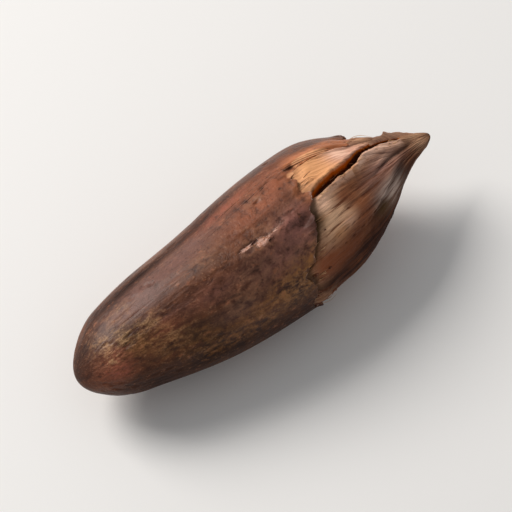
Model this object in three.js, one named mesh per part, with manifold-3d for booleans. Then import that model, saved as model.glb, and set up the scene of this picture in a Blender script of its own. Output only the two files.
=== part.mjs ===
// A chilgoza pine nut in its shell, lying on its side on a flat surface.
// It grew as one piece, so it is one closed solid: a long seed coat with a blunt base, a seam
// ridge along its back, and a beak where the dark outer skin has torn away round a split.
//
// Millimetres. +X runs from the base to the tip of the beak, +Z is up, and the origin is on the
// surface below the middle of the nut. A share is a share of the length, counted from the base,
// and angles are measured round the nut from +Y towards +Z.

import * as THREE from 'three';
import { ParametricGeometry } from 'three/addons/geometries/ParametricGeometry.js';
import { mergeVertices } from 'three/addons/utils/BufferGeometryUtils.js';
import Module from 'manifold-3d';

// Overall form.
const length = 23.5;
const width = 7.9; // across, where it is widest
const thickness = 7.0; // from the belly to the back, where it is thickest
const widestShare = 0.58;
const baseShare = 0.12; // the round end of the base
const bluntness = 0.46; // girth of the base, as a share of the widest place
const tiltRise = 0.7; // from base to tip, so that it lies level under its own weight
const beakRise = 0.25;
const bow = 0.28; // of the base half, to one side
const restDepth = 0.08; // the belly is flattened by this much where it rests
const tip = { width: 0.9, thickness: 0.5, from: 0.84 }; // the flat blade that ends the beak

// Two places where the left side bulges, each with its share, its half length and its rise.
const bulges = [
	{ share: 0.25, half: 0.14, rise: 0.17 },
	{ share: 0.81, half: 0.14, rise: 0.36 },
];
const bulgeAngle = 25;
const bulgeSpread = 0.95; // radians to either side

// The seam and the outer skin.
const ridge = { height: 0.16, width: 0.55 };
const skin = { thickness: 0.16, tear: 0.45 }; // the step to the bared layer, and its run
const split = { from: 0.64, to: 0.93, widest: 0.42, narrowest: 0.13, depth: 0.75 };

// The grid of the solid.
const stationsAlong = 78;
const linesAround = 68;

const { degToRad, lerp, radToDeg } = THREE.MathUtils;
const turn = 360;
const smooth = (from, to, x) => THREE.MathUtils.smoothstep(x, from, to);
const bell = (x) => Math.exp(-x * x);

// 1 where the nut is fullest and 0 at the ends: a round end, then a taper that swells to the
// widest place, then a drawn-out point.
function girth(s) {
	const roundEnd = Math.sqrt(1 - (1 - Math.min(1, s / baseShare)) ** 2);
	const swelling = Math.sin((Math.PI / 2) * Math.min(1, s / widestShare));
	const t = Math.max(0, (s - widestShare) / (1 - widestShare));
	return roundEnd * lerp(bluntness, 1, swelling) * Math.max(0, 1 - t ** 2.6) ** 1.7;
}

// The blade takes over where the body has thinned out, and ends round.
function blade(s) {
	return smooth(tip.from, tip.from + 0.11, s) * Math.sqrt(Math.min(1, (1 - s) / 0.025));
}

const halfWidth = (s) => Math.hypot(width * girth(s), tip.width * blade(s)) / 2;
const halfThickness = (s) => Math.hypot(thickness * girth(s), tip.thickness * blade(s)) / 2;

// The middle of each cross-section.
function middle(s) {
	const y = -bow * bell((s - 0.38) / 0.18) + 0.1 * bell((s - 0.7) / 0.15);
	const rise = tiltRise * (s - 0.5) + beakRise * smooth(0.75, 1, s);
	return { y, z: thickness / 2 - restDepth + rise };
}

// The seam wanders along the back, and curves over to the left side of the beak.
function seamAngle(s) {
	return degToRad(95 + 13 * bell((s - 0.5) / 0.12) - 480 * Math.max(0, s - 0.66) ** 2);
}

// Where the dark skin ends: pairs of an angle and a share, all the way round.
const skinEdge = [
	[20, 0.83],
	[58, 0.81],
	[68, 0.655],
	[85, 0.628],
	[98, 0.64],
	[113, 0.618],
	[130, 0.582],
	[150, 0.545],
	[185, 0.535],
	[250, 0.62],
	[310, 0.74],
];

function skinEnd(angle) {
	const [firstAngle, firstShare] = skinEdge[0];
	const closed = [...skinEdge, [firstAngle + turn, firstShare]];
	let a = THREE.MathUtils.euclideanModulo(radToDeg(angle), turn);
	if (a < firstAngle) a += turn;
	const next = closed.findIndex(([at]) => at > a);
	const [[fromAngle, from], [toAngle, to]] = [closed[next - 1], closed[next]];
	const ragged = 0.006 * Math.sin(9 * angle) + 0.004 * Math.sin(23 * angle + 1);
	return lerp(from, to, smooth(fromAngle, toAngle, a)) + ragged;
}

const wrapped = (angle) => Math.atan2(Math.sin(angle), Math.cos(angle));

// How far the left side stands out where it bulges.
function bulge(s, angle) {
	const side = bell(wrapped(angle - degToRad(bulgeAngle)) / bulgeSpread);
	const rise = bulges.reduce((sum, b) => sum + b.rise * bell((s - b.share) / b.half), 0);
	return smooth(0, 0.1, s) * (1 - smooth(0.95, 1, s)) * side * rise;
}

// How far the surface stands off the plain oval.
function relief(s, angle) {
	const off = wrapped(angle - seamAngle(s));
	const across = halfWidth(s) * off;
	const seam = ridge.height * smooth(0.2, 0.5, s) * bell(across / ridge.width);
	const flats = -0.13 * bell((off - 0.75) / 0.42) - 0.13 * bell((off + 0.8) / 0.45);
	const hollow = -0.16 * bell((s - 0.59) / 0.035) * bell((across - 0.45) / 0.6);
	const folds = 0.05 * smooth(0.66, 0.78, s) * Math.sin(9 * angle + 16 * s);
	const swell = 0.06 * Math.sin(11 * s + 2 * angle) + 0.04 * Math.sin(17 * s - 3 * angle + 1);
	const pastEdge = (s - skinEnd(angle)) * length;
	const bared = -skin.thickness * smooth(0, skin.tear, pastEdge);
	const fade = smooth(0.02, 0.2, s) * (1 - smooth(0.88, 0.97, s));
	return fade * (seam + flats + hollow + folds + swell + bared) + bulge(s, angle);
}

// A point of the surface, or one that stands off it by a distance. The surface that the nut
// lies on flattens the belly.
function place(s, angle, off, target) {
	const centre = middle(s);
	const stand = relief(s, angle) + off;
	const y = centre.y + (halfWidth(s) + stand) * Math.cos(angle);
	const z = centre.z + (halfThickness(s) + stand) * Math.sin(angle);
	return target.set((s - 0.5) * length, y, Math.max(z, 0));
}

const wasm = await Module();
wasm.setup();

// A closed geometry as a solid, with its shared vertices merged and its empty triangles dropped.
function solidOf(geometry) {
	geometry.deleteAttribute('normal');
	geometry.deleteAttribute('uv');
	const merged = mergeVertices(geometry, 1e-4);
	const corners = Array.from(merged.index.array);
	const kept = [];
	for (let i = 0; i < corners.length; i += 3) {
		const [a, b, c] = corners.slice(i, i + 3);
		if (a !== b && b !== c && c !== a) kept.push(a, b, c);
	}
	return new wasm.Manifold(
		new wasm.Mesh({
			numProp: 3,
			vertProperties: merged.attributes.position.array,
			triVerts: new Uint32Array(kept),
		}),
	);
}

function geometryOf(solid) {
	const mesh = solid.getMesh();
	const geometry = new THREE.BufferGeometry();
	geometry.setAttribute('position', new THREE.BufferAttribute(mesh.vertProperties, 3));
	geometry.setIndex(new THREE.BufferAttribute(mesh.triVerts, 1));
	geometry.computeVertexNormals();
	return geometry;
}

// The whole coat as one closed surface with its poles at the base and at the tip. The stations
// crowd together towards both ends, which are round.
function coat() {
	const crowding = 0.85;
	const point = (u, v, target) => {
		const crowded = (1 - Math.cos(Math.PI * v)) / 2;
		place(lerp(v, crowded, crowding), 2 * Math.PI * (u % 1), 0, target);
	};
	return solidOf(new ParametricGeometry(point, linesAround, stationsAlong));
}

// What is cut out for the split: a wedge that follows the seam, with its edge at the bottom of
// the split and its flat side above the surface.
function splitTool() {
	const steps = 26;
	const above = 0.25;
	const rings = [];
	for (let step = 0; step <= steps; step++) {
		const v = step / steps;
		const s = lerp(split.from, split.to, v);
		const taper = Math.sqrt(Math.max(0.02, 1 - (2 * v - 1) ** 8)); // it closes at both ends
		const gape = lerp(split.widest, split.narrowest, smooth(0.35, 0.8, v)) * taper;
		const side = ((gape / 2) * (1 + above / split.depth)) / halfWidth(s);
		const seam = seamAngle(s);
		rings.push([
			place(s, seam + side, above, new THREE.Vector3()),
			place(s, seam - side, above, new THREE.Vector3()),
			place(s, seam, -split.depth * taper, new THREE.Vector3()),
		]);
	}
	return solidOf(loft(rings));
}

// Rings of three corners joined into a bar, closed at both ends.
function loft(rings) {
	const corners = [];
	for (let i = 1; i < rings.length; i++) {
		const [near, far] = [rings[i - 1], rings[i]];
		for (let a = 0; a < 3; a++) {
			const b = (a + 1) % 3;
			corners.push(near[a], far[a], far[b], near[a], far[b], near[b]);
		}
	}
	const [first, last] = [rings[0], rings.at(-1)];
	corners.push(first[0], first[1], first[2], last[0], last[2], last[1]);
	return new THREE.BufferGeometry().setFromPoints(corners);
}

const nut = new THREE.Mesh(
	geometryOf(coat().subtract(splitTool())),
	new THREE.MeshStandardMaterial({ color: 0x5f4034, roughness: 0.55, metalness: 0 }),
);
nut.name = 'nut';

const group = new THREE.Group();
group.add(nut);

export default group;
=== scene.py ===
import math
import bpy
import numpy as np
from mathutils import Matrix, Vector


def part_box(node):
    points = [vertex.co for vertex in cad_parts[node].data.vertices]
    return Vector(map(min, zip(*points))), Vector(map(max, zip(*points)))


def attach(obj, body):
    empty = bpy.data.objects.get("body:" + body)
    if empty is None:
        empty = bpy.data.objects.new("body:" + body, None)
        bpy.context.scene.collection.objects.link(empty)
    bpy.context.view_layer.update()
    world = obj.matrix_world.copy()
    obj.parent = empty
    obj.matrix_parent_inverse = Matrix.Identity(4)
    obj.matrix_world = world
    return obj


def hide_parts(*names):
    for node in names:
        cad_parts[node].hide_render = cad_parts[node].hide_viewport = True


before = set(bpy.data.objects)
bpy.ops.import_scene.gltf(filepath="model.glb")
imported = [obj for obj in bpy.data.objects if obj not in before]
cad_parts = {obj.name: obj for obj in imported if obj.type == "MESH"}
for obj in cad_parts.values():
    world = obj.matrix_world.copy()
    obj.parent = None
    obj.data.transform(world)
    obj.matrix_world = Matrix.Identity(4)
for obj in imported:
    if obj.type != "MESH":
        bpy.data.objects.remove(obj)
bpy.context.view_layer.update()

# A chilgoza pine nut in its shell, lying on its side, with its blunt base towards -X and its
# torn beak towards +X. Shapes are worked out in millimetres and go into the meshes in metres.
# A share counts along the nut from its base, and an angle goes round it from +Y towards +Z.

metresPerMm = 0.001
turn = 2 * math.pi
low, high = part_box("nut")
length = (high.x - low.x) / metresPerMm

nutForm = {
    "width": 7.9,
    "thickness": 7.0,
    "widestShare": 0.58,
    "baseShare": 0.12,       # the round end of the base
    "bluntness": 0.46,       # girth of the base, against the widest place
    "tiltRise": 0.7,
    "beakRise": 0.25,
    "bow": 0.28,
    "restDepth": 0.08,
    "tipWidth": 0.9,
    "tipThickness": 0.5,
    "tipFrom": 0.84,
    "ridgeHeight": 0.16,
    "ridgeWidth": 0.55,
    # where the left side bulges: share, half length as a share, and rise in millimetres
    "bulges": [(0.25, 0.14, 0.17), (0.81, 0.14, 0.36)],
    "bulgeAngle": 25,
    "bulgeSpread": 0.95,
    # the seam: its angle at the base, its wander in the middle, and how fast it turns away past it
    "seam": (95, 13, 480),
    "flats": 0.13,           # depth of the flats beside the seam
    "hollow": 0.16,
    "folds": 0.05,
    "swells": (0.06, 0.04),  # two long waves
}

skinForm = {
    "thickness": 0.16,       # the step down to the bared layer
    "columns": 430,
    "rows": 205,
    "teeth": 0.2,            # how far the torn edge strays, in millimetres
    "curl": 0.2,             # how far its lip lifts at the most
    "thinning": 0.12,        # where it feathers out
    # one corner of the lip that lifts more: degrees, half width in radians, and rise
    "corner": (116, 0.22, 0.1),
    # depths of its texture, in millimetres
    "wrinkles": 0.05,
    "lines": 0.014,
    "pits": 0.06,
    "puckers": 0.03,
    "scar": 0.05,
    # where the skin ends all the way round: an angle in degrees and a share
    "edge": [(20, 0.83), (58, 0.81), (68, 0.655), (85, 0.628), (98, 0.64), (113, 0.618),
             (130, 0.582), (150, 0.545), (185, 0.535), (250, 0.62), (310, 0.74)],
    # the turned-under lip: distance past the edge, depth, and how much of the curl it follows
    "lip": [(0.02, -0.015, 1), (0.035, -0.045, 1), (0.03, -0.085, 1), (0.0, -0.11, 0.9),
            (-0.12, -0.15, 0.5), (-0.35, -0.19, 0.1), (-0.7, -0.26, 0)],
}

layerForm = {
    "columns": 320,
    "rows": 290,
    "from": 0.49,            # it starts under the skin
    "splitFrom": 0.64,
    "splitTo": 0.93,
    "widest": 0.54,
    "narrowest": 0.42,
    "depth": 0.7,
    "lip": 0.08,
    "jag": 0.09,             # how far the split strays from the seam
    "shift": (0.06, 0.12),   # how far it lies beside the seam, and what its far part adds to that
    # heights and depths of its texture, in millimetres
    "fibres": 0.05,
    "knots": 0.06,
    "crossKnots": 0.025,
    "cracks": 0.07,
    "swell": 0.1,            # beside the torn skin
    "gutter": 0.08,          # close under the torn skin
    # grooves along the beak: from and to, degrees past the split, half width and depth in mm
    "grooves": [(0.79, 0.96, 27, 0.12, 0.14), (0.71, 0.93, 58, 0.2, 0.09),
                (0.76, 0.95, -24, 0.12, 0.12), (0.68, 0.9, 104, 0.26, 0.09),
                (0.7, 0.94, 155, 0.3, 0.1), (0.68, 0.9, 205, 0.26, 0.1),
                (0.74, 0.95, 250, 0.24, 0.1), (0.72, 0.92, -62, 0.2, 0.08)],
}


# Noise and small helpers

latticeSize = 32
lattice = np.random.default_rng(31).uniform(-1, 1, (latticeSize,) * 3)


def smooth(start, end, x):
    # 3t^2 - 2t^3, where t goes from 0 at the start to 1 at the end
    t = np.clip((x - start) / (end - start), 0, 1)
    return t * t * (3 - 2 * t)


def bell(x):
    # e to the minus x squared
    return np.exp(-x * x)


def lerp(a, b, t):
    # a where t is 0 and b where it is 1
    return a + (b - a) * t


def wrap(angle):
    # the same angle between minus and plus half a turn
    return (angle + math.pi) % turn - math.pi


def grain(x, y, z, octaves=3, gain=0.5):
    # Random values on the corners of a cube lattice, blended by 6t^5 - 15t^4 + 10t^3 between
    # them, and summed over octaves that each double the pitch and lose strength by the gain.
    total, weight, whole = 0.0, 1.0, 0.0
    for octave in range(octaves):
        cell = [np.floor(c).astype(int) for c in (x, y, z)]
        t = [c - f for c, f in zip((x, y, z), cell)]
        t = [c ** 3 * (c * (6 * c - 15) + 10) for c in t]
        near = [c % latticeSize for c in cell]
        far = [(c + 1) % latticeSize for c in cell]
        sides = []
        for k in (near[2], far[2]):
            rows = [lerp(lattice[near[0], j, k], lattice[far[0], j, k], t[0]) for j in (near[1], far[1])]
            sides.append(lerp(*rows, t[1]))
        total = total + weight * lerp(*sides, t[2])
        whole += weight
        weight *= gain
        x, y, z = 2 * x + 7.3, 2 * y + 3.1, 2 * z + 11.7
    return total / whole


# The nut's form, by the same formulas as its solid

def girth(s):
    # 1 where the nut is fullest: a round end, times a sine swelling up to the widest place,
    # times (1 - t^2.6)^1.7 beyond it
    f = nutForm
    roundEnd = np.sqrt(1 - (1 - np.clip(s / f["baseShare"], 0, 1)) ** 2)
    swelling = np.sin(math.pi / 2 * np.clip(s / f["widestShare"], 0, 1))
    t = np.clip((s - f["widestShare"]) / (1 - f["widestShare"]), 0, 1)
    return roundEnd * lerp(f["bluntness"], 1, swelling) * (1 - t ** 2.6) ** 1.7


def blade(s):
    # grows from 0 to 1 along the beak and ends round at the tip
    start = nutForm["tipFrom"]
    return smooth(start, start + 0.11, s) * np.sqrt(np.clip((1 - s) / 0.025, 0, 1))


def halfWidth(s):
    # half the root of the squares of the body's and the blade's widths
    return np.hypot(nutForm["width"] * girth(s), nutForm["tipWidth"] * blade(s)) / 2


def halfThickness(s):
    # the same for the thicknesses
    return np.hypot(nutForm["thickness"] * girth(s), nutForm["tipThickness"] * blade(s)) / 2


def middle(s):
    # centre of each cross-section: bells for the bow, a slope and a smooth rise for the tilt
    f = nutForm
    y = -f["bow"] * bell((s - 0.38) / 0.18) + 0.1 * bell((s - 0.7) / 0.15)
    rise = f["tiltRise"] * (s - 0.5) + f["beakRise"] * smooth(0.75, 1, s)
    return y, f["thickness"] / 2 - f["restDepth"] + rise


def seamAngle(s):
    # the start, plus a bell at the middle, less the turn times the square of the share past 0.66
    start, wander, away = nutForm["seam"]
    past = np.clip(s - 0.66, 0, None)
    return np.radians(start + wander * bell((s - 0.5) / 0.12) - away * past ** 2)


def skinEnd(angle):
    # smooth steps between the points of the edge, with a shallow wave
    points = skinForm["edge"]
    angles = np.array([a for a, share in points] + [points[0][0] + 360.0])
    shares = np.array([share for a, share in points] + [points[0][1]])
    a = (np.degrees(angle) - angles[0]) % 360 + angles[0]
    after = np.clip(np.searchsorted(angles, a, side="right"), 1, len(angles) - 1)
    t = smooth(angles[after - 1], angles[after], a)
    ragged = 0.006 * np.sin(9 * angle) + 0.004 * np.sin(23 * angle + 1)
    return lerp(shares[after - 1], shares[after], t) + ragged


def ends(s):
    # 0 at the base and at the tip, and 1 in between
    return smooth(0.02, 0.2, s) * (1 - smooth(0.88, 0.97, s))


def bulge(s, angle):
    # bells along the nut times one bell round it, fading out at the base and at the tip
    side = bell(wrap(angle - math.radians(nutForm["bulgeAngle"])) / nutForm["bulgeSpread"])
    rise = sum(height * bell((s - share) / half) for share, half, height in nutForm["bulges"])
    return smooth(0, 0.1, s) * (1 - smooth(0.95, 1, s)) * side * rise


def relief(s, angle):
    # how far the surface stands off the plain oval: the seam's ridge and the flats beside it are
    # bells across the seam, the hollow is a bell both ways, and waves give the folds and swells
    f = nutForm
    off = wrap(angle - seamAngle(s))
    across = halfWidth(s) * off
    seam = f["ridgeHeight"] * smooth(0.2, 0.5, s) * bell(across / f["ridgeWidth"])
    flats = -f["flats"] * (bell((off - 0.75) / 0.42) + bell((off + 0.8) / 0.45))
    hollow = -f["hollow"] * bell((s - 0.59) / 0.035) * bell((across - 0.45) / 0.6)
    folds = f["folds"] * smooth(0.66, 0.78, s) * np.sin(9 * angle + 16 * s)
    first, second = f["swells"]
    swell = first * np.sin(11 * s + 2 * angle) + second * np.sin(17 * s - 3 * angle + 1)
    return ends(s) * (seam + flats + hollow + folds + swell) + bulge(s, angle)


def place(s, angle, stand):
    # the point at that share and angle, standing off the oval, and never below the surface that
    # the nut lies on
    y, z = middle(s)
    y = y + (halfWidth(s) + stand) * np.cos(angle)
    z = z + (halfThickness(s) + stand) * np.sin(angle)
    return np.stack([(s - 0.5) * length + 0 * y, y, np.maximum(z, 0)], -1)


def flowAt(s, angle):
    # the nut unrolled onto a straight bar with a round end, so that a streak in it runs from the
    # base to the tip and nothing is pinched together at the base
    bar = nutForm["width"] / 2 * np.sqrt(1 - (1 - np.clip(s / nutForm["baseShare"], 0, 1)) ** 2)
    return np.stack([s * length + 0 * angle, bar * np.cos(angle), bar * np.sin(angle)], -1)


def patches(s, angle, spots):
    # the sum of soft ovals: a bell along the nut times a bell round it
    total = 0.0
    for share, degrees, halfLong, halfRound, strength in spots:
        alongMm = (s - share) * length
        roundMm = np.maximum(halfWidth(s), 0.5) * wrap(angle - math.radians(degrees))
        total = total + strength * bell(alongMm / halfLong) * bell(roundMm / halfRound)
    return np.clip(total, 0, 1.5)


def spotValues(s, angle, look):
    # what a paint reads: the flow, and a number for each colour that has soft ovals
    values = {"flow": flowAt(s, angle)}
    for key in look:
        if key.endswith("Spots"):
            values[key.removesuffix("Spots")] = patches(s, angle, look[key])
    return values


# Meshes

def makeMesh(name, points, faces, finish, values):
    # points in millimetres, and values a dictionary of numbers or vectors for each point
    mesh = bpy.data.meshes.new(name)
    mesh.from_pydata((points * metresPerMm).tolist(), [], faces)
    for key, numbers in values.items():
        kind, field = ("FLOAT_VECTOR", "vector") if numbers.ndim > 1 else ("FLOAT", "value")
        layer = mesh.attributes.new(key, kind, "POINT")
        layer.data.foreach_set(field, np.ascontiguousarray(numbers, dtype=np.float32).ravel())
    mesh.shade_smooth()
    mesh.materials.append(finish)
    mesh.update()
    piece = bpy.data.objects.new(name, mesh)
    bpy.context.scene.collection.objects.link(piece)
    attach(piece, "root")
    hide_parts("nut")
    print(name, len(faces), "faces")


def closedGrids(name, points, finish, values):
    # For each item, rings of points, the first and the last of them each drawn in to one point.
    # Quads join the rings and triangles close both ends, all facing outwards.
    items, rows, columns = points.shape[:3]
    keep = np.concatenate([[0], np.arange(columns, (rows - 1) * columns), [rows * columns - 1]])
    ring = np.arange((rows - 2) * columns).reshape(rows - 2, columns) + 1
    onward = np.roll(ring, -1, axis=1)
    quads = np.stack([ring[:-1], onward[:-1], onward[1:], ring[1:]], -1).reshape(-1, 4)
    start = np.stack([np.zeros(columns, int), onward[0], ring[0]], -1)
    close = np.stack([np.full(columns, len(keep) - 1), ring[-1], onward[-1]], -1)
    shift = (np.arange(items) * len(keep))[:, None, None]
    faces = []
    for kind in (quads, start, close):
        faces += (kind + shift).reshape(-1, kind.shape[1]).tolist()
    flat = {}
    for key, numbers in values.items():
        wide = numbers.reshape(items, rows * columns, -1)[:, keep]
        flat[key] = wide.reshape(-1, 3) if wide.shape[2] == 3 else wide.reshape(-1)
    makeMesh(name, points.reshape(items, -1, 3)[:, keep].reshape(-1, 3), faces, finish, flat)


def closedGrid(name, points, finish, values):
    # the same for a single item
    closedGrids(name, points[None], finish, {key: numbers[None] for key, numbers in values.items()})


# Shader building

class Wire:
    # A number, a colour or a vector that leaves a socket. Arithmetic on it adds Math nodes.
    def __init__(self, finish, socket):
        self.finish = finish
        self.socket = socket

    def math(self, operation, a, b):
        return self.finish.add("ShaderNodeMath", {"operation": operation}, {0: a, 1: b})

    def __add__(self, other):
        return self.math("ADD", self, other)

    def __radd__(self, other):
        return self.math("ADD", other, self)

    def __sub__(self, other):
        return self.math("SUBTRACT", self, other)

    def __rsub__(self, other):
        return self.math("SUBTRACT", other, self)

    def __mul__(self, other):
        return self.math("MULTIPLY", self, other)

    def __rmul__(self, other):
        return self.math("MULTIPLY", other, self)


class Finish:
    # A material whose nodes are all made by add().
    def __init__(self, name, roughness=0.5, coatRoughness=0.3, sheen=0.0,
                 sheenTint=(255, 255, 255), shine=0.5):
        self.material = bpy.data.materials.new(name)
        self.material.use_nodes = True
        self.tree = self.material.node_tree
        self.tree.nodes.clear()
        self.shader = self.tree.nodes.new("ShaderNodeBsdfPrincipled")
        out = self.tree.nodes.new("ShaderNodeOutputMaterial")
        self.tree.links.new(self.shader.outputs[0], out.inputs["Surface"])
        fixed = {"Roughness": roughness, "Coat Roughness": coatRoughness, "Sheen Weight": sheen,
                 "Sheen Roughness": 0.45, "Sheen Tint": tint(sheenTint), "Specular IOR Level": shine}
        for name, value in fixed.items():
            self.shader.inputs[name].default_value = value

    def add(self, kind, settings=None, sockets=None, output=0):
        # a node, with its settings first because they can change its sockets
        node = self.tree.nodes.new(kind)
        for name, value in (settings or {}).items():
            setattr(node, name, value)
        for key, value in (sockets or {}).items():
            self.feed(node.inputs[key], value)
        return Wire(self, node.outputs[output])

    def feed(self, socket, value):
        # a link into the socket, or a value set on it
        if isinstance(value, Wire):
            self.tree.links.new(value.socket, socket)
        else:
            socket.default_value = value

    def give(self, name, value):
        # the same for one of the shader's own sockets
        self.feed(self.shader.inputs[name], value)

    def attribute(self, name):
        return self.add("ShaderNodeAttribute", {"attribute_name": name}, output="Fac")

    def flow(self, stretch=(1, 1, 1)):
        where = self.add("ShaderNodeAttribute", {"attribute_name": "flow"}, output="Vector")
        return self.add("ShaderNodeVectorMath", {"operation": "MULTIPLY"}, {0: where, 1: stretch})

    def noise(self, where, scale, detail=4, roughness=0.55, distortion=0.0, output="Fac"):
        return self.add("ShaderNodeTexNoise", {},
                        {"Vector": where, "Scale": scale, "Detail": detail, "Roughness": roughness,
                         "Distortion": distortion}, output)

    def noises(self, table):
        # a noise for each row: stretch along the nut, scale, detail, roughness and distortion
        return [self.noise(self.flow((row[0], 1, 1)), *row[1:]) for row in table.values()]

    def rise(self, value, start, end):
        # 0 below the start, 1 above the end and smooth between them
        return self.add("ShaderNodeMapRange", {"interpolation_type": "SMOOTHSTEP"},
                        {"Value": value, "From Min": start, "From Max": end})

    def mix(self, a, b, factor, blend="MIX"):
        a, b = [c if isinstance(c, Wire) else tint(c) for c in (a, b)]
        return self.add("ShaderNodeMix", {"data_type": "RGBA", "blend_type": blend},
                        {"Factor": factor, 6: a, 7: b}, output=2)

    def laid(self, colour, look, covers):
        # named colours laid one over the other, each where the attribute of its name and a mask
        # let it show
        for name, mask in covers:
            colour = self.mix(colour, look[name], self.attribute(name) * mask)
        return colour

    def bump(self, height, distance, under=None):
        # the distance is in millimetres
        sockets = {"Height": height, "Distance": distance * metresPerMm, "Strength": 1.0}
        if under:
            sockets["Normal"] = under
        return self.add("ShaderNodeBump", {}, sockets)


def tint(colour):
    # a display colour of 0 to 255 as linear light: (c / 255) to the power 2.2, near enough
    return tuple((c / 255) ** 2.2 for c in colour) + (1.0,)


# The dark outer skin

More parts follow.
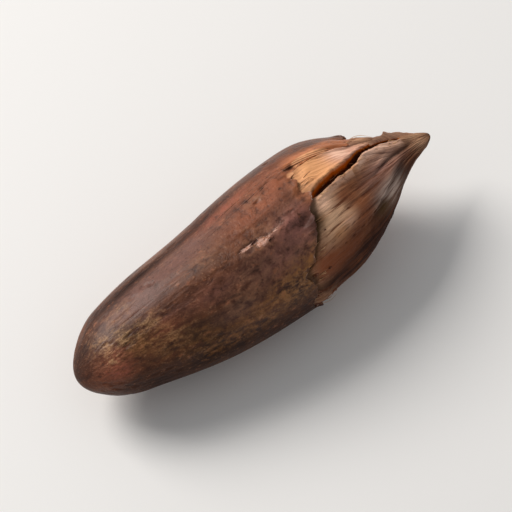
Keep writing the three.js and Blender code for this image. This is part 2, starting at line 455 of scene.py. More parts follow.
skinLook = {
    "umber": (64, 34, 20),
    "chestnut": (108, 64, 40),
    "rust": (142, 82, 57),
    "bloomAndSheen": (108, 74, 65),
    "golden": (138, 92, 52),
    "cream": (176, 138, 100),
    "olive": (60, 35, 11),
    "plum": (140, 92, 82),
    "beige": (144, 104, 80),
    "shade": (44, 22, 12),
    "speck": (30, 16, 12),
    "thin": (172, 106, 70),
    "bare": (224, 162, 118),
    "torn": (208, 164, 148),
    "blush": (152, 82, 66),
    "coat": 0.13,
    "coatLoss": 0.085,       # where it is shaded
    # stretch along the nut, scale, detail, roughness and distortion
    "noises": {
        "cloud": (1, 0.5, 4, 0.55, 0.0),
        "mottle": (1, 1.9, 6, 0.62, 0.4),
        "grains": (0.7, 3.6, 3, 0.55, 0.0),
        "streak": (0.2, 1.8, 6, 0.6, 0.6),
        "hair": (0.13, 7.0, 4, 0.6, 0.4),
        "speckle": (1, 8.5, 3, 0.5, 0.0),
        "scratch": (0.35, 5.0, 6, 0.75, 0.6),
        "blotch": (1, 1.15, 4, 0.65, 0.5),
    },
    # soft ovals where each shows: share, degrees, half length and half width in mm, strength
    # the skin's waxy bloom, partly a painted sheen where it lies along the upper flank near the base
    "bloomAndSheenSpots": [(0.35, 140, 1.4, 0.5, 0.8), (0.15, 72, 2.2, 1.1, 1.0), (0.28, 62, 3.0, 1.2, 1.0),
                   (0.36, 58, 1.6, 1.0, 0.6), (0.45, 300, 3.5, 1.6, 0.5), (0.2, 220, 2.5, 1.5, 0.4)],
    "rustSpots": [(0.51, 76, 2.0, 0.9, 0.8), (0.60, 68, 1.6, 1.1, 0.7), (0.07, 124, 0.9, 0.9, 1.0),
                  (0.43, 48, 1.8, 0.7, 1.2), (0.635, 49, 1.0, 0.5, 1.4), (0.03, 150, 0.8, 0.8, 0.5),
                  (0.21, 119, 0.7, 0.5, 0.8), (0.45, 240, 3.0, 1.8, 0.7), (0.3, 350, 2.5, 1.2, 0.6),
                  (0.52, 50, 1.4, 0.5, 0.5), (0.3, 45, 2.0, 0.4, 0.6)],
    "goldenSpots": [(0.48, 148, 2.0, 1.0, 1.0), (0.525, 148, 1.2, 1.0, 1.4), (0.40, 157, 1.7, 0.8, 0.8),
                    (0.14, 116, 1.1, 0.8, 0.7), (0.28, 157, 1.6, 1.0, 0.7),
                    (0.573, 138.5, 0.6, 0.5, 1.7), (0.35, 215, 2.5, 1.2, 0.8),
                    (0.55, 330, 2.0, 1.0, 0.7), (0.1, 290, 1.2, 1.0, 0.6), (0.2, 135, 1.3, 0.8, 0.6)],
    "creamSpots": [(0.11, 96, 0.8, 0.6, 0.9), (0.18, 100, 0.9, 0.4, 0.7), (0.07, 84, 0.6, 0.8, 0.5),
                   (0.07, 114, 0.4, 0.4, 1.0), (0.144, 67, 0.8, 0.5, 0.5), (0.2, 125, 1.2, 0.7, 0.4),
                   (0.52, 150, 1.2, 0.7, 0.3)],
    "oliveSpots": [(0.27, 155, 1.7, 1.0, 1.2), (0.24, 130, 1.4, 0.8, 0.8), (0.13, 107, 1.1, 0.8, 1.4),
                   (0.47, 168, 1.6, 0.7, 0.3), (0.275, 163, 0.6, 0.4, 0.6)],
    "blushSpots": [(0.078, 118, 0.7, 0.6, 0.8), (0.072, 138, 0.7, 0.5, 0.9), (0.49, 51, 1.4, 0.35, 0.7),
                   (0.43, 47, 0.8, 0.4, 0.4), (0.224, 106, 0.5, 0.4, 0.4)],
    "beigeSpots": [(0.537, 70, 0.6, 0.35, 1.0), (0.36, 137, 1.5, 0.6, 0.9), (0.43, 118, 1.6, 0.8, 0.8),
                   (0.56, 132, 1.4, 0.8, 0.8), (0.36, 84, 1.2, 0.6, 0.6), (0.53, 92, 1.2, 0.5, 0.5),
                   (0.475, 100, 1.0, 0.5, 0.8), (0.3, 40, 2.0, 1.0, 0.6), (0.5, 270, 2.5, 1.4, 0.6)],
    "plumSpots": [(0.575, 107, 1.4, 1.1, 1.3), (0.5, 122, 2.0, 0.9, 0.9), (0.33, 112, 2.5, 0.6, 0.5)],
    "shadeSpots": [(0.0, 60, 1.0, 3.0, 0.6), (0.25, 100, 3.0, 0.7, 0.3), (0.60, 117.5, 0.5, 0.5, 0.8),
                   (0.55, 116, 0.8, 0.35, 0.3), (0.61, 86, 0.5, 0.8, 0.6), (0.23, 43, 3.4, 0.55, 0.75),
                   (0.48, 43, 3.0, 0.4, 0.55), (0.27, 171, 2.0, 0.6, 0.7), (0.347, 91, 1.2, 0.5, 0.3),
                   (0.57, 89, 0.7, 0.5, 0.35), (0.232, 108, 0.5, 0.4, 0.5), (0.55, 107, 0.9, 0.3, 0.25),
                   (0.07, 52, 1.2, 0.9, 0.4), (0.25, 42, 3.0, 0.6, 0.35), (0.04, 62, 1.1, 1.2, 0.3),
                   (0.3, 192, 5.0, 2.1, 1.0), (0.5, 195, 3.0, 2.0, 0.8), (0.42, 116, 2.0, 0.5, 0.5),
                   (0.12, 185, 1.6, 1.5, 0.7), (0.635, 49, 1.2, 0.5, 0.75), (0.43, 40, 2.2, 0.7, 0.55),
                   (0.2, 44, 2.4, 0.3, 0.35), (0.61, 112, 0.4, 0.4, 0.6), (0.737, 50, 1.2, 0.5, 0.6),
                   (0.275, 163, 0.6, 0.4, 0.35)],
    "thinSpots": [(0.668, 63, 0.6, 0.6, 1.0), (0.71, 57, 1.3, 0.55, 1.0), (0.77, 57, 1.3, 0.5, 1.0),
                  (0.645, 74, 0.6, 0.5, 0.6), (0.80, 51, 0.9, 0.7, 1.0), (0.633, 91, 0.5, 0.6, 0.8)],
    "bareSpots": [(0.688, 63, 0.65, 0.34, 1.1), (0.645, 71, 0.4, 0.3, 0.8), (0.73, 61, 0.8, 0.25, 0.9)],
    "paleSpots": [(0.483, 101.5, 0.38, 0.22, 1.7), (0.447, 98, 0.6, 0.13, 1.0),
                  (0.52, 101, 0.4, 0.1, 0.7), (0.555, 99.5, 0.6, 0.1, 0.5)],
}


def paintSkin():
    # Each colour lies over the ones before it, where its soft ovals and a noise let it show. Wear
    # is brightest along a net of fine cells, and the whole is darker and lighter in blotches.
    look = skinLook
    finish = Finish("dark outer skin", coatRoughness=0.24, sheen=0.02, sheenTint=(236, 206, 206),
                    shine=0.22)
    cloud, mottle, grains, streak, hair, speckle, scratch, blotch = finish.noises(look["noises"])
    flow = finish.flow()
    bent = finish.mix(flow, finish.noise(flow, 1.6, 2, output="Color"), 0.35, "ADD")
    cells = finish.add("ShaderNodeTexVoronoi", {"feature": "DISTANCE_TO_EDGE"},
                       {"Vector": bent, "Scale": 3.9, "Randomness": 1.0})
    net = (1 - finish.rise(cells, 0.0, 0.13)) * finish.rise(mottle, 0.42, 0.6)
    wear = net * 0.12 + grains * 0.55 + speckle * 0.45
    soft = finish.rise(mottle * 0.5 + grains * 0.5, 0.38, 0.62)

    colour = finish.mix(look["umber"], look["chestnut"],
                        finish.rise(streak * 0.3 + cloud * 0.4 + mottle * 0.3, 0.4, 0.6))
    colour = finish.laid(colour, look, [
        ("plum", finish.rise(mottle, 0.25, 0.6) * 0.85),
        ("rust", finish.rise(streak * 0.4 + mottle * 0.6, 0.32, 0.52)),
        # waxy bloom, partly a painted sheen on the upper flank
        ("bloomAndSheen", finish.rise(cloud * 0.3 + mottle * 0.7, 0.26, 0.52) * 0.9),
        ("beige", finish.rise(grains * 0.4 + mottle * 0.6, 0.38, 0.6) * 0.7),
        ("olive", finish.rise(mottle, 0.3, 0.56) * 0.85),
        ("blush", finish.rise(grains, 0.35, 0.6) * 0.8),
        ("shade", 0.75),
        ("golden", soft * 0.6 + finish.rise(wear, 0.46, 0.66) * 0.3),
        ("cream", soft * 0.35 + finish.rise(wear, 0.5, 0.64) * 0.5)])
    light = finish.rise(speckle * 0.6 + grains * 0.4, 0.54, 0.66) * finish.rise(cloud, 0.35, 0.6)
    colour = finish.mix(colour, look["beige"], light * 0.5)
    colour = finish.mix(colour, look["rust"], finish.rise(grains, 0.62, 0.72) * 0.35)
    colour = finish.mix(colour, look["speck"], finish.rise(1 - speckle, 0.62, 0.72) * 0.55)

    # thin skin, the places where it is gone, and the pale chip
    colour = finish.laid(colour, look, [
        ("thin", finish.rise(streak * 0.5 + mottle * 0.5, 0.3, 0.55))])
    bare = finish.rise(finish.attribute("bare") + (streak - 0.5) * 0.5, 0.25, 0.7)
    colour = finish.mix(colour, look["bare"], bare)
    scar = finish.rise(finish.attribute("pale") + (scratch - 0.5) * 2.6, 0.4, 0.95)
    torn = finish.mix(look["thin"], look["torn"],
                      finish.rise(scratch * 0.5 + speckle * 0.5, 0.4, 0.56))
    colour = finish.mix(colour, torn, scar * 0.85)
    colour = finish.mix(colour, look["speck"], finish.rise(1 - hair, 0.6, 0.72) * 0.22)
    colour = finish.mix(colour, 0.38 + blotch * 0.85 + grains * 0.4, 1.0, "MULTIPLY")
    finish.give("Base Color", colour)

    shade = finish.attribute("shade")
    finish.give("Roughness", 0.42 + finish.attribute("bloomAndSheen") * 0.1 + shade * 0.25
                + finish.attribute("pale") * 0.15 + (mottle - 0.5) * 0.35)
    finish.give("Coat Weight", look["coat"] - shade * look["coatLoss"])
    fine = finish.bump(speckle * 0.5 + hair * 0.5, 0.03)
    coarse = mottle * 0.6 + grains * 0.4 - scar * 0.35
    finish.give("Normal", finish.bump(coarse, 0.09, under=fine))
    return finish.material


def skinTexture(s, angle, past):
    # Long wrinkles, fine lines along the nut and scattered pits, each a noise stretched along it;
    # short puckers, a noise times a bell at the torn edge; and a shallow scar where the skin has
    # chipped off, a smooth step of its soft ovals plus a noise. All fade out at the base.
    f = skinForm
    x, y, z = np.moveaxis(flowAt(s, angle), -1, 0)
    wrinkles = f["wrinkles"] * grain(0.22 * x, 1.1 * y, 1.1 * z, 3)
    lines = f["lines"] * grain(0.3 * x, 4.5 * y, 4.5 * z, 2)
    pits = -f["pits"] * smooth(0.42, 0.75, grain(1.1 * x + 4, 1.6 * y, 1.6 * z, 2))
    puckers = f["puckers"] * bell(past / 0.7) * grain(0.9 * x, 5 * y, 5 * z, 2)
    chipped = patches(s, angle, skinLook["paleSpots"]) + 0.3 * grain(2 * x, 3 * y, 3 * z, 3)
    scar = -f["scar"] * smooth(0.35, 0.6, chipped)
    return smooth(0.0, 0.05, s) * (wrinkles + lines + pits + puckers + scar)


def feather(s, angle):
    # 1 where the skin thins out to nothing instead of ending in a step
    return smooth(0.2, 0.8, patches(s, angle, skinLook["thinSpots"]))


def tornEdge(columns):
    # The edge of the skin as a closed line: even steps of its own length, each point moved out
    # or in along the line's normal by a noise that repeats after one turn. The lip lifts by a
    # smooth step of another noise, plus a bell at one corner.
    angle = np.linspace(0, turn, 6001)
    share = skinEnd(angle)
    bar = nutForm["width"] / 2
    steps = np.hypot(np.diff(share) * length, np.diff(angle) * bar)
    travelled = np.concatenate([[0], np.cumsum(steps)])
    u = np.arange(columns) / columns
    a = np.interp(u * travelled[-1], travelled, angle)
    s = skinEnd(a)
    tangent = np.stack([np.gradient(np.append(s, s[0]))[:-1] * length,
                        np.gradient(np.append(a, a[0] + turn))[:-1] * bar])
    tangent /= np.hypot(*tangent)
    normal = np.stack([tangent[1], -tangent[0]])
    loopX, loopY = np.cos(turn * u), np.sin(turn * u)
    teeth = (1.1 * grain(5 * loopX, 5 * loopY, 0 * u, 3, 0.6)
             - 1.0 * np.abs(grain(9 * loopX, 9 * loopY, 0 * u + 4, 2, 0.6))
             + 0.7 * np.abs(grain(21 * loopX, 21 * loopY, 0 * u + 9, 2, 0.6)))
    stray = skinForm["teeth"] * teeth
    s = s + normal[0] * stray / length
    a = a + normal[1] * stray / bar
    lift = skinForm["curl"] * smooth(-0.1, 0.6, grain(4 * loopX, 4 * loopY, 0 * u + 5, 2))
    degrees, halfRound, rise = skinForm["corner"]
    lift = lift + rise * bell(wrap(a - math.radians(degrees)) / halfRound)
    return u, s, a, normal, lift * (1 - feather(s, a))


def makeSkin(finish):
    # Rings from the base to the torn edge, closer together near both: each stands off the oval by
    # the relief, the texture and a lip that lifts by a bell, less what feathers out.
    f = skinForm
    u, edgeShare, edgeAngle, normal, lift = tornEdge(f["columns"])
    v = np.linspace(0, 1, f["rows"])[:, None]
    crowded = lerp(v, (1 - np.cos(math.pi * v)) / 2, 0.6)
    s = edgeShare * crowded
    angle = lerp(turn * u, edgeAngle, smooth(0.1, 0.9, v))
    past = (edgeShare - s) * length * np.maximum(normal[0], 0.35)
    thinned = f["thinning"] * feather(s, angle) * bell(past / 0.7)
    stand = relief(s, angle) + skinTexture(s, angle, past) + lift * bell(past / 0.3) - thinned

    # the lip turns under itself and runs back below the bared layer
    bar = nutForm["width"] / 2
    for beyond, depth, follow in f["lip"]:
        lipShare = edgeShare + normal[0] * beyond / length
        lipAngle = edgeAngle + normal[1] * beyond / bar
        thinned = f["thinning"] * feather(lipShare, lipAngle) * (1 + 4 * depth)
        lipStand = relief(lipShare, lipAngle) + depth + follow * lift - thinned
        s = np.vstack([s, lipShare])
        angle = np.vstack([angle, lipAngle])
        stand = np.vstack([stand, lipStand])
        past = np.vstack([past, np.zeros(f["columns"])])

    # the last ring closes at the middle of the nut, where the skin is shortest
    points = place(s, angle, stand)
    points[0] = points[0].mean(0)
    shortest = min(share for degrees, share in f["edge"])
    inside = np.array([(shortest - 0.5) * length, *middle(shortest)])
    points = np.concatenate([points, np.broadcast_to(inside, (1, f["columns"], 3))])
    s, angle, past = [np.vstack([grid, grid[-1]]) for grid in (s, angle, past)]
    values = spotValues(s, angle, skinLook)
    broken = grain(1.3 * s * length, 4 * np.cos(angle), 4 * np.sin(angle), 2)
    rim = bell(past / 0.05) * smooth(-0.2, 0.4, broken)
    values["pale"] = np.clip(values["pale"] + 0.8 * rim, 0, 1)
    closedGrid("skin", points, finish, values)


# Scraps of the skin that are left on the bared layer, and slivers beside the chip on the ridge

scrapForm = {
    "count": 16,
    "size": (0.05, 0.22),    # half length, in millimetres
    "between": (125, 405),   # degrees round the nut
    "height": 0.03,
    "rings": 9,
    "columns": 26,
    "seed": 12,
    # the slivers: share, degrees, and half length, half width and rise in millimetres
    "scales": [(0.468, 98, 0.24, 0.03, 0.06), (0.502, 104.5, 0.2, 0.03, 0.05)],
}


def scrapPoints(share, degrees, halfLong, halfRound, lean, rise, standAt, number):
    # Rings that widen from the middle of the top to a ragged rim, then close below the surface.
    # The top is flat with a rim that curls up by the fourth power of the radius. The inputs are
    # arrays with one number for each scrap.
    f = scrapForm
    radius = np.concatenate([np.linspace(0, 1, f["rings"] - 3), [1.02, 0.9, 0.0]])[None, :, None]
    below = np.concatenate([np.zeros(f["rings"] - 3), [0.5, 1.0, 1.0]])[None, :, None]
    turnBy = (np.arange(f["columns"]) / f["columns"] * turn)[None, None, :]
    inputs = np.array([share, degrees, halfLong, halfRound, lean, rise, number], float)
    share, degrees, halfLong, halfRound, lean, rise, number = inputs[:, :, None, None]
    loopX, loopY = 1.2 * np.cos(turnBy), 1.2 * np.sin(turnBy)
    ragged = 1.1 - 1.2 * np.abs(grain(loopX + 5 * number, loopY, 0 * number, 3, 0.6))
    px = radius * ragged * np.cos(turnBy) * halfLong
    py = radius * ragged * np.sin(turnBy) * halfRound
    s = share + (px * np.cos(lean) - py * np.sin(lean)) / length
    angle = np.radians(degrees) + (px * np.sin(lean) + py * np.cos(lean)) / halfWidth(share)
    curl = rise * radius ** 4 * (0.5 + np.cos(turnBy - 5 * number))
    stand = standAt(s, angle) + (1 - below) * (f["height"] + np.maximum(curl, 0)) - 0.05 * below
    return s, angle, place(s, angle, stand)


def makeScraps(finish):
    # crumbs at random angles, most of them close past the torn edge, and then the slivers
    f = scrapForm
    source = np.random.default_rng(f["seed"])
    angle = np.radians(source.uniform(*f["between"], f["count"]))
    past = 0.2 + source.uniform(0, 1, f["count"]) ** 2.5 * 1.3
    share = skinEnd(angle) + past / length
    size = f["size"][0] + source.uniform(0, 1, f["count"]) ** 2 * (f["size"][1] - f["size"][0])
    slim = source.uniform(0.25, 0.6, f["count"])
    lean = source.uniform(-0.5, 0.5, f["count"])
    s, angle, points = scrapPoints(share, np.degrees(angle), size, size * slim, lean, 0.05 + 0 * size,
                                   lambda s, a: layerStand(s, a)[0], np.arange(f["count"]))
    closedGrids("skinScraps", points, finish, {"flow": flowAt(s, angle), "rust": 0.4 + 0 * s})

    share, degrees, halfLong, halfRound, rise = np.array(f["scales"]).T
    s, angle, points = scrapPoints(share, degrees, halfLong, halfRound, 0 * share - 0.1, rise,
                                   lambda s, a: relief(s, a) + skinTexture(s, a, 9.0),
                                   np.arange(len(share)) + 50)
    closedGrids("liftedScales", points, finish, {"flow": flowAt(s, angle), "plum": 0.8 + 0 * s})


# The layer that the torn skin has bared, with the beak and its split

layerLook = {
    "tan": (226, 162, 112),
    "straw": (238, 190, 152),
    "brown": (142, 88, 56),
    "umber": (96, 52, 30),
    "rust": (140, 78, 46),
    "shade": (48, 21, 8),
    "paintedSheen": (212, 186, 172),
    "plum": (192, 142, 126),
    "pink": (246, 198, 172),
    "rose": (212, 158, 134),
    "oliveAndShadow": (80, 54, 20),
    "cleft": (186, 100, 5),
    "cleftShade": (72, 34, 2),
    "coat": 0.05,
    "coatLoss": 0.033,       # where it is shaded
    # stretch along the nut, scale, detail, roughness and distortion
    "noises": {
        "fibre": (0.12, 4.0, 6, 0.62, 0.3),
        "hair": (0.04, 12.0, 3, 0.6, 0.0),
        "cloud": (1, 0.9, 4, 0.55, 0.0),
        "mottle": (1, 3.4, 5, 0.6, 0.0),
    },
    # soft ovals where each shows: share, degrees, half length and half width in mm, strength
    "tanSpots": [(0.69, 80, 1.7, 1.0, 1.0), (0.74, 74, 1.4, 0.8, 1.0), (0.69, 132, 0.5, 0.3, 0.7),
                 (0.655, 137, 0.5, 0.4, 0.6), (0.766, 95, 0.8, 0.25, 0.5)],
    "roseSpots": [(0.775, 76, 0.9, 0.8, 0.9), (0.80, 68, 1.2, 0.6, 0.9), (0.735, 54, 1.2, 0.4, 0.5)],
    "strawSpots": [(0.657, 112, 0.8, 0.7, 1.3), (0.65, 127, 0.8, 0.7, 1.2), (0.692, 132, 0.6, 0.4, 1.2),
                   (0.62, 141, 0.6, 0.5, 0.4), (0.84, 62, 1.4, 0.5, 0.5), (0.90, 60, 1.0, 0.5, 0.5),
                   (0.72, 20, 1.2, 1.0, 0.6), (0.97, 60, 0.7, 1.0, 0.6), (0.96, 120, 0.6, 0.5, 0.2),
                   (0.673, 117, 0.6, 0.35, 1.2), (0.63, 240, 1.2, 1.5, 0.7),
                   (0.77, 320, 1.4, 1.2, 0.8)],
    "rustSpots": [(0.59, 149, 0.9, 0.7, 1.0), (0.61, 160, 1.3, 0.8, 1.0), (0.675, 157, 0.9, 0.35, 1.4),
                  (0.73, 136, 1.3, 0.7, 1.0), (0.70, 113, 0.7, 0.45, 1.0), (0.78, 270, 2.0, 2.0, 0.6)],
    "shadeSpots": [(0.575, 173, 0.9, 0.6, 0.7), (0.80, 81, 0.8, 0.2, 1.2), (0.80, 109, 0.8, 0.3, 0.3),
                   (0.78, 135, 0.7, 0.4, 0.35), (0.74, 168, 2.6, 1.2, 1.0), (0.64, 180, 1.6, 1.0, 0.9),
                   (0.80, 185, 2.4, 1.2, 0.8), (0.66, 215, 2.0, 1.6, 0.5), (0.88, 158, 1.0, 0.7, 0.7),
                   (0.79, 118, 1.0, 0.6, 0.45), (0.87, 137, 0.5, 0.3, 0.6)],
    # painted shadow that the lifted edge of the torn skin casts on the bared layer
    "collarShadowSpots": [(0.63, 110, 1.2, 0.8, 1.0), (0.60, 127, 1.2, 0.9, 0.9), (0.56, 150, 1.5, 1.2, 0.7)],
    # painted sheen: a pale grey reflection near the beak's right edge
    "paintedSheenSpots": [(0.828, 144, 0.95, 0.6, 1.3), (0.80, 138, 0.8, 0.4, 0.5)],
    # olive blotches, and beside the torn skin's edge more of the painted shadow
    "oliveAndShadowSpots": [(0.785, 151, 0.6, 0.45, 1.2), (0.62, 118, 0.5, 0.5, 1.0),
                  (0.633, 114, 0.4, 0.3, 0.5)],
    "pinkSpots": [(0.772, 69, 0.6, 0.45, 1.2), (0.862, 99, 0.9, 0.25, 0.6), (0.655, 108, 0.5, 0.4, 0.6),
                  (0.687, 133, 0.5, 0.35, 0.45)],
    "plumSpots": [(0.85, 106, 1.3, 0.5, 1.0), (0.80, 118, 0.9, 0.5, 0.6)],
}


def paintLayer():
    # Brown fibres under soft ovals of other colours, one of them a painted grey sheen, with painted
    # shade close under the torn skin and in the grooves, a painted shadow along the torn skin's edge,
    # and a golden brown split that darkens with painted shade as it goes down.
    look = layerLook
    finish = Finish("bared tan layer", sheen=0.02, sheenTint=(240, 214, 190), shine=0.2)
    fibre, hair, cloud, mottle = finish.noises(look["noises"])
    past = finish.attribute("past")
    mixed = finish.rise(fibre * 0.5 + mottle * 0.5, 0.26, 0.48)
    nearEdge = (1 - finish.rise(past, 0.7, 2.0)) * finish.rise(fibre * 0.6 + mottle * 0.4, 0.36, 0.6)

    colour = finish.mix(look["umber"], look["brown"],
                        finish.rise(fibre * 0.5 + cloud * 0.3 + mottle * 0.2, 0.42, 0.6))
    colour = finish.mix(colour, look["straw"], finish.rise(fibre, 0.56, 0.72) * 0.35)
    colour = finish.mix(colour, look["straw"], nearEdge * 0.35)
    colour = finish.laid(colour, look, [
        ("straw", finish.rise(fibre, 0.32, 0.55)),
        ("tan", mixed),
        ("rose", mixed),
        ("rust", finish.rise(fibre, 0.25, 0.55) * 0.85),
        ("plum", finish.rise(fibre, 0.3, 0.6)),
        ("shade", finish.rise(fibre, 0.2, 0.6) * 0.85),
        # painted sheen near the beak's right edge
        ("paintedSheen", finish.rise(fibre, 0.3, 0.6) * 0.8)])
    # painted shade close under the torn skin
    colour = finish.mix(colour, look["shade"], (1 - finish.rise(past, 0.08, 0.4)) * 0.6)
    # painted shadow along the torn skin's edge, then the olive ovals
    collarShadow = finish.attribute("collarShadow") * (1 - finish.rise(past, 0.2, 0.5))
    colour = finish.mix(colour, look["oliveAndShadow"], collarShadow * 0.85)
    colour = finish.laid(colour, look, [("oliveAndShadow", 0.8), ("pink", finish.rise(fibre, 0.3, 0.5))])

    # the lips, the grooves and the split
    lip, cleft = finish.attribute("lip"), finish.attribute("cleft")
    colour = finish.mix(colour, look["pink"], lip * finish.rise(mottle, 0.25, 0.5))
    colour = finish.mix(colour, look["umber"], finish.rise(1 - hair, 0.56, 0.7) * 0.4)
    # painted shade in the grooves and fine cracks
    colour = finish.mix(colour, look["shade"], finish.attribute("groove") * 0.7)
    colour = finish.mix(colour, look["cleft"], finish.rise(cleft, 0.03, 0.3))
    # painted shade down in the split, strongest in its narrow far part
    colour = finish.mix(colour, look["cleftShade"], finish.rise(cleft, 0.4, 0.9))
    finish.give("Base Color", colour)

    shade = finish.attribute("shade")
    finish.give("Roughness", 0.52 - finish.attribute("paintedSheen") * 0.16 + shade * 0.25
                + (mottle - 0.5) * 0.3)
    finish.give("Coat Weight", look["coat"] - shade * look["coatLoss"])
    fine = finish.bump(hair, 0.03)
    finish.give("Normal", finish.bump(fibre * 0.7 + mottle * 0.3, 0.08, under=fine))
    return finish.material


def splitShape(s, off):
    # The split follows the seam, and a noise and a smooth step move it to one side. Its half gap
    # narrows along it by a smooth step and closes at both ends by the root of 1 - (2v - 1)^8, and
    # its walls go down by (1 - (across / half gap)^2.2)^0.8. Each lip is a bell beside the gap, and
    # the right one is highest in the middle of the split. Also given: how far down the gap a point
    # is, counted faster in the narrow part, and where the right lip is pink.
    f = layerForm
    v = (s - f["splitFrom"]) / (f["splitTo"] - f["splitFrom"])
    opening = np.sqrt(np.clip(1 - (2 * v - 1) ** 8, 0, 1))
    half = lerp(f["widest"], f["narrowest"], smooth(0.42, 0.58, v)) / 2 * opening
    jag = f["jag"] * grain(s * 60, 0 * s, 0 * s + 2, 4, 0.6)
    shift = f["shift"][0] + f["shift"][1] * smooth(0.47, 0.56, v)
    across = halfWidth(s) * off + (jag + shift) * opening
    inGap = np.clip(1 - (np.abs(across) / np.maximum(half, 1e-3)) ** 2.2, 0, 1) * (opening > 0)
    depth = f["depth"] * opening * inGap ** 0.8
    right = 0.4 + 0.8 * bell((v - 0.5) / 0.16)
    lips = f["lip"] * opening * bell((np.abs(across) - half - 0.12) / 0.1)
    lips = lips * np.where(across > 0, right, 0.8)
    pink = opening * (smooth(0.42, 0.56, v) + 0.5 * (v < 0.42)) * bell((across - half - 0.19) / 0.2)
    dark = np.clip(inGap * opening * (1 + 4 * smooth(0.42, 0.6, v)), 0, 1)
    return lips - depth, dark, pink


def grooveShape(s, off):
    # Each groove is a bell across it, with a low bell for the fold beside it, and fades in and out
    # along the nut by smooth steps. A noise lets it wander.
    stand, mask = 0.0, 0.0
    for start, end, degrees, half, depth in layerForm["grooves"]:
        v = (s - start) / (end - start)
        fade = smooth(0, 0.35, v) * (1 - smooth(0.75, 1, v))
        wander = 0.12 * grain(9 * s + degrees, 0 * s, 0 * s, 2)
        across = halfWidth(s) * wrap(off - math.radians(degrees)) + wander
        cut = fade * bell(across / half)
        stand = stand + depth * (0.45 * fade * bell((across + 1.9 * half) / (1.2 * half)) - cut)
        mask = mask + cut * min(1, depth / 0.14)
    return stand, np.clip(mask, 0, 1)


def layerTexture(s, angle, past):
    # Fibres that run to the tip: crests where a stretched noise passes zero. Low knots and cross
    # wrinkles between them, thin cracks, and a swelling and a gutter that are bells beside the torn
    # skin.
    f = layerForm
    x, y, z = np.moveaxis(flowAt(s, angle), -1, 0)
    fibres = f["fibres"] * (0.6 - 2 * np.abs(grain(0.16 * x, 2.4 * y, 2.4 * z, 3, 0.6)))
    knots = f["knots"] * grain(0.6 * x + 3, 1.1 * y, 1.1 * z, 2)
    knots = knots + f["crossKnots"] * grain(1.6 * x, 0.8 * y, 0.8 * z + 5, 2)
    line = np.abs(grain(0.13 * x + 9, 1.2 * y, 1.2 * z, 2))
    crack = smooth(0.05, 0.0, line) * smooth(0.05, 0.3, grain(0.5 * x + 2, 0.9 * y, 0.9 * z, 2))
    uneven = 0.8 + 0.6 * grain(0.5 * x, 0.8 * y, 0.8 * z, 1)
    swell = f["swell"] * bell((past - 0.85) / 0.5) * uneven
    gutter = f["gutter"] * bell((past - 0.12) / 0.22) * (1 - feather(s, angle))
    fade = 1 - 0.7 * smooth(0.93, 1, s)
    return fade * (fibres + knots - f["cracks"] * crack + swell - gutter), 0.6 * crack * fade


def layerStand(s, angle):
    # how far the bared layer stands off the oval, with the values that its paint reads
    off = wrap(angle - seamAngle(s))
    past = (s - skinEnd(angle)) * length
    cut, cleft, lip = splitShape(s, off)
    fold, groove = grooveShape(s, off)
    fibres, crack = layerTexture(s, angle, past)
    sunk = skinForm["thickness"] + 0.12 * smooth(0.1, -1.0, past)
    clear = 1 - smooth(0, 0.2, cleft)
    stand = relief(s, angle) - ends(s) * sunk + cut + clear * (fibres + fold)
    return stand, {"past": past + feather(s, angle), "cleft": cleft, "lip": lip,
                   "groove": np.maximum(groove, crack) * clear}


def makeLayer(finish):
    # Rings from under the skin to the tip, closer together towards it, whose points crowd towards
    # the split by 0.4w + 0.6w^3.
    f = layerForm
    v = np.linspace(0, 1, f["rows"])[:, None]
    s = lerp(f["from"], 1, lerp(v, np.sin(math.pi / 2 * v), 0.75)) + 0 * v
    w = np.linspace(-1, 1, f["columns"], endpoint=False)
    off = math.pi * (0.4 * w + 0.6 * w ** 3)
    s, off = np.broadcast_arrays(s, off)
    angle = seamAngle(s) + off
    stand, values = layerStand(s, angle)
    values.update(spotValues(s, angle, layerLook))
    points = place(s, angle, stand)
    base = np.array([points[0, 0, 0], *middle(np.array(f["from"]))])
    points = np.concatenate([np.broadcast_to(base, (1, f["columns"], 3)), points])
    points[-1] = points[-1].mean(0)
    values = {key: np.concatenate([numbers[:1], numbers]) for key, numbers in values.items()}
    closedGrid("baredLayer", points, finish, values)


# Dry fibres that stand from the torn edge and from the lips of the split

fibreForm = {
    "count": 70,
    "length": (0.35, 1.3),
    "radius": (0.010, 0.022),
    "steps": 12,
    "sides": 5,
    "seed": 5,
    "onSplit": 0.18,         # how many of them stand on the split's lips
    "splitShare": (0.66, 0.92),
    "dark": (150, 104, 70),
    "light": (214, 172, 128),
}


def paintFibres():
    finish = Finish("dry fibres", roughness=0.6, shine=0.3)
    patchy = finish.rise(finish.noise(finish.flow(), 1.4, 3), 0.4, 0.6)
    finish.give("Base Color", finish.mix(fibreForm["dark"], fibreForm["light"], patchy))
    return finish.material


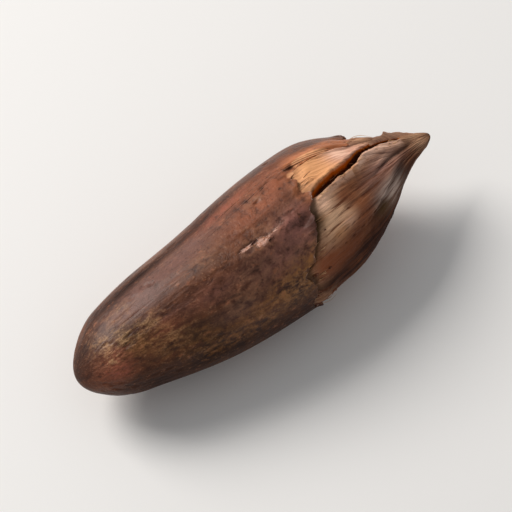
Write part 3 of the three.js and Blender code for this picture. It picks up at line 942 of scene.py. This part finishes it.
def makeFibres():
    # Each fibre is a tapered tube. Its middle line starts on the bared layer, runs towards the tip,
    # swings to one side by the square of the way along it and rises off the surface by a sine.
    f = fibreForm
    source = np.random.default_rng(f["seed"])

    def spread(low, high, power=1.0):
        return (low + (high - low) * source.uniform(0, 1, f["count"]) ** power)[:, None]

    startAngle = spread(0, turn)
    onSplit = spread(0, 1) < f["onSplit"]
    share = np.where(onSplit, spread(*f["splitShare"]),
                     skinEnd(startAngle) + spread(-0.1, 0.5) / length)
    side = np.where(spread(0, 1) < 0.5, -1, 1)
    startAngle = np.where(onSplit, seamAngle(share) + side * 0.22 / halfWidth(share), startAngle)
    size = spread(*f["length"], 1.8)
    way = np.linspace(0, 1, f["steps"])[None, :]
    s = share + size * way / length * np.where(onSplit, 0.7, 1)
    swing = spread(-0.25, 0.25) * size * way + spread(-0.3, 0.3) * size * way ** 2
    angle = startAngle + swing / halfWidth(share)
    lift = spread(0.02, 0.22, 1.5) * size * np.sin(math.pi * way * spread(0.35, 0.85))
    middleLine = place(s, angle, layerStand(s, angle)[0] + lift + 0.01)

    along = np.gradient(middleLine, axis=1)
    along /= np.linalg.norm(along, axis=-1, keepdims=True)
    sideways = np.cross(along, np.array([0.0, 0.3, 1.0]))
    sideways /= np.linalg.norm(sideways, axis=-1, keepdims=True)
    upward = np.cross(sideways, along)
    radius = spread(*f["radius"]) * np.sqrt(np.clip(1 - way ** 2, 0.02, 1))
    around = -np.arange(f["sides"]) / f["sides"] * turn
    ring = (np.cos(around)[:, None] * sideways[:, :, None] + np.sin(around)[:, None] * upward[:, :, None])
    tube = middleLine[:, :, None] + radius[:, :, None, None] * ring
    first = np.broadcast_to(middleLine[:, :1, None], tube[:, :1].shape)
    last = np.broadcast_to(middleLine[:, -1:, None], tube[:, :1].shape)
    points = np.concatenate([first, tube, last], 1)
    closedGrids("fibres", points, paintFibres(), {"flow": points})


# The thin dry blade that is left standing beside the split, at the tip

bladeForm = {
    "from": 0.845,
    "to": 0.975,
    "height": 0.3,
    "thickness": 0.06,
    "lean": 0.5,             # radians, away from the split
    "beside": 0.16,          # its foot, in millimetres from the split's middle
    "rows": 80,
    "columns": 40,
}


def makeBlade(finish):
    # A thin sheet that follows the left lip. Its height is a sine arch broken by a noise, and its
    # cross-section is a flat oval that thins towards its rim.
    f = bladeForm
    v = np.linspace(0, 1, f["rows"])[:, None]
    u = np.arange(f["columns"])[None, :] / f["columns"] * turn
    s = lerp(f["from"], f["to"], v) + 0 * u
    arch = np.sin(math.pi * v) ** 0.6
    ragged = 0.75 + 0.9 * grain(4 * v, 0 * v, 0 * v + 3, 4, 0.6)
    height = f["height"] * arch * np.clip(ragged, 0.15, 1.4)
    up = (1 - np.cos(u)) / 2
    thick = f["thickness"] * (1 - 0.6 * up) * np.sin(u) / 2 * np.minimum(1, 6 * arch)
    wave = 0.05 * grain(5 * v + 8, 2 * up, 0 * v, 2) * up
    across = -f["beside"] - height * up ** 1.5 * math.sin(f["lean"]) + thick + wave
    angle = seamAngle(s) + across / np.maximum(halfWidth(s), 0.4)
    stand = relief(s, seamAngle(s)) - 0.15 + (height + 0.15) * up * math.cos(f["lean"])
    points = place(s, angle, stand)
    points[0] = points[0].mean(0)
    points[-1] = points[-1].mean(0)
    look = {"flow": flowAt(s, angle), "straw": 0.4 + 0 * s, "rose": 0.3 + 0 * s, "past": 9 + 0 * s}
    closedGrid("dryBlade", points, finish, look)


print("making the nut")
skinFinish = paintSkin()
layerFinish = paintLayer()
makeSkin(skinFinish)
makeLayer(layerFinish)
makeScraps(skinFinish)
makeFibres()
makeBlade(layerFinish)


# Floor, lights and camera

stageLook = {
    "floorSide": 1.2,
    "floorColour": (240, 240, 240),
    "sky": 0.34,
    # where each lamp is, seen from the nut, in metres and watts
    "key": {"toward": (-0.33, 0.76, 0.7), "distance": 0.26, "size": 0.14, "power": 0.69,
            "colour": (255, 250, 244)},
    "back": {"toward": (0.15, 0.95, 0.35), "distance": 0.24, "size": 0.12, "power": 0.018,
             "colour": (255, 250, 248)},
    "azimuth": -38,
    "elevation": 60,
    "lens": 300,
    "acrossFrame": 27.0,     # millimetres that the frame takes in at the nut
}


def makeFloor():
    half = stageLook["floorSide"] / 2
    mesh = bpy.data.meshes.new("floor")
    corners = [(-half, -half, 0), (half, -half, 0), (half, half, 0), (-half, half, 0)]
    mesh.from_pydata(corners, [], [(0, 1, 2, 3)])
    finish = Finish("pale floor", roughness=0.7)
    finish.give("Base Color", tint(stageLook["floorColour"]))
    mesh.materials.append(finish.material)
    floor = bpy.data.objects.new("floor", mesh)
    bpy.context.scene.collection.objects.link(floor)


def makeLamp(name, aim, settings):
    # a square lamp that faces the nut from a distance along a direction
    lamp = bpy.data.lights.new(name, "AREA")
    lamp.size = settings["size"]
    lamp.energy = settings["power"]
    lamp.color = tint(settings["colour"])[:3]
    holder = bpy.data.objects.new(name, lamp)
    toward = np.array(settings["toward"]) / np.linalg.norm(settings["toward"])
    direction = aim.copy()
    direction[:] = toward
    holder.location = aim + direction * settings["distance"]
    holder.rotation_mode = "QUATERNION"
    holder.rotation_quaternion = direction.to_track_quat("Z", "Y")
    bpy.context.scene.collection.objects.link(holder)


def makeCamera(aim):
    # as far from the nut as the width in the frame times the lens over the sensor's width
    camera = bpy.data.cameras.new("camera")
    camera.lens = stageLook["lens"]
    camera.sensor_width = 36
    camera.clip_start = 0.01
    camera.clip_end = 10
    distance = stageLook["acrossFrame"] * metresPerMm * camera.lens / camera.sensor_width
    a, e = math.radians(stageLook["azimuth"]), math.radians(stageLook["elevation"])
    back = aim.copy()
    back[:] = (math.sin(a) * math.cos(e), -math.cos(a) * math.cos(e), math.sin(e))
    holder = bpy.data.objects.new("camera", camera)
    holder.location = aim + back * distance
    holder.rotation_mode = "QUATERNION"
    holder.rotation_quaternion = back.to_track_quat("Z", "Y")
    bpy.context.scene.collection.objects.link(holder)
    bpy.context.scene.camera = holder


def makeStage():
    scene = bpy.context.scene
    aim = (low + high) / 2
    makeFloor()
    makeLamp("key light", aim, stageLook["key"])
    makeLamp("back light", aim, stageLook["back"])
    makeCamera(aim)
    scene.world = bpy.data.worlds.new("pale sky")
    scene.world.use_nodes = True
    background = scene.world.node_tree.nodes["Background"]
    background.inputs["Color"].default_value = (1, 1, 1, 1)
    background.inputs["Strength"].default_value = stageLook["sky"]
    scene.view_settings.view_transform = "Standard"
    print("stage set")


makeStage()
